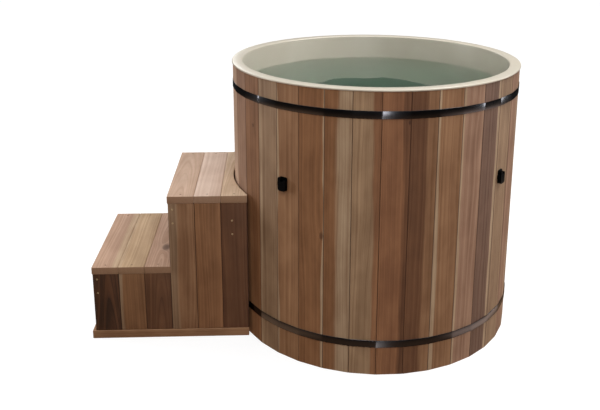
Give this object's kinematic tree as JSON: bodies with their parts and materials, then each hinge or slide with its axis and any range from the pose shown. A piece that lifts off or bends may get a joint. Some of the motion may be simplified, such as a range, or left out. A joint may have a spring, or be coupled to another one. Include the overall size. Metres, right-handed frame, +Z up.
{
  "type": "cold plunge tub",
  "caption": "Round cedar-stave cold plunge tub with a moulded liner, steel hoops, cover-strap receivers, bottom drain and a matching set of steps.",
  "frame": {"origin": "on the tub axis at floor level, on the underside of the middle floor bearer", "axes": "+Z up along the tub axis; the steps stand towards -X and the front of the tub faces -Y"},
  "size_m": [1.5297, 1.1899, 0.965],
  "materials": {
    "cedar_tan": "planed, satin oiled",
    "cedar_brown": "planed, satin oiled",
    "cedar_pale": "planed, satin oiled",
    "cedar_dark": "planed, satin oiled",
    "cedar_pink": "planed, satin oiled",
    "shell_cream": "smooth moulded gel coat",
    "black_steel": "satin black",
    "bolt_steel": "zinc plated",
    "black_plastic": "moulded, fine grain",
    "grey_plastic": "moulded",
    "lever_red": "moulded",
    "pale_wood": "sawn"
  },
  "bodies": {
    "tub": {"stave_01": "cedar_tan", "stave_02": "cedar_pale", "stave_03": "cedar_tan", "stave_04": "cedar_pale", "stave_05": "cedar_tan", "stave_06": "cedar_pale", "stave_07": "cedar_tan", "stave_08": "cedar_pale", "stave_09": "cedar_tan", "stave_10": "cedar_pale", "stave_11": "cedar_tan", "stave_12": "cedar_pale", "stave_13": "cedar_tan", "stave_14": "cedar_pale", "stave_15": "cedar_tan", "stave_16": "cedar_pale", "stave_17": "cedar_tan", "stave_18": "cedar_pale", "stave_19": "cedar_tan", "stave_20": "cedar_pale", "stave_21": "cedar_tan", "stave_22": "cedar_pale", "stave_23": "cedar_tan", "stave_24": "cedar_pale", "stave_25": "cedar_tan", "stave_26": "cedar_pale", "stave_27": "cedar_tan", "stave_28": "cedar_pale", "stave_29": "cedar_tan", "stave_30": "cedar_pale", "stave_31": "cedar_tan", "stave_32": "cedar_pale", "stave_33": "cedar_tan", "stave_34": "cedar_pale", "stave_35": "cedar_tan", "stave_36": "cedar_pale", "liner": "shell_cream", "floor_platform": "pale_wood", "upper_hoop": "black_steel", "upper_hoop_bolt": "bolt_steel", "lower_hoop": "black_steel", "lower_hoop_bolt": "bolt_steel", "strap_receiver_1": "black_plastic", "strap_receiver_2": "black_plastic", "strap_receiver_3": "black_plastic", "strap_receiver_4": "black_plastic", "drain_strainer": "grey_plastic", "drain_pipework": "grey_plastic"},
    "valve_lever": {"drain_lever": "lever_red"},
    "steps": {"lower_tread_1": "cedar_tan", "lower_tread_2": "cedar_pale", "lower_tread_3": "cedar_pink", "upper_tread_1": "cedar_brown", "upper_tread_2": "cedar_dark", "upper_tread_3": "cedar_tan", "front_side": "cedar_brown", "rear_side": "cedar_brown", "lower_riser": "cedar_tan", "upper_riser": "cedar_pale", "step_base": "cedar_dark"}
  },
  "joints": [
    {"name": "lever_turn", "type": "hinge", "parent": "tub", "child": "valve_lever", "pos_m": [-0.00611, 0.58361, 0.0923], "axis": [0, 0, 1], "range_deg": [0, 90]},
    {"name": "steps_pull_away", "type": "slide", "parent": "tub", "child": "steps", "axis": [-1, 0, 0], "range_m": [0, 0.3]}
  ]
}
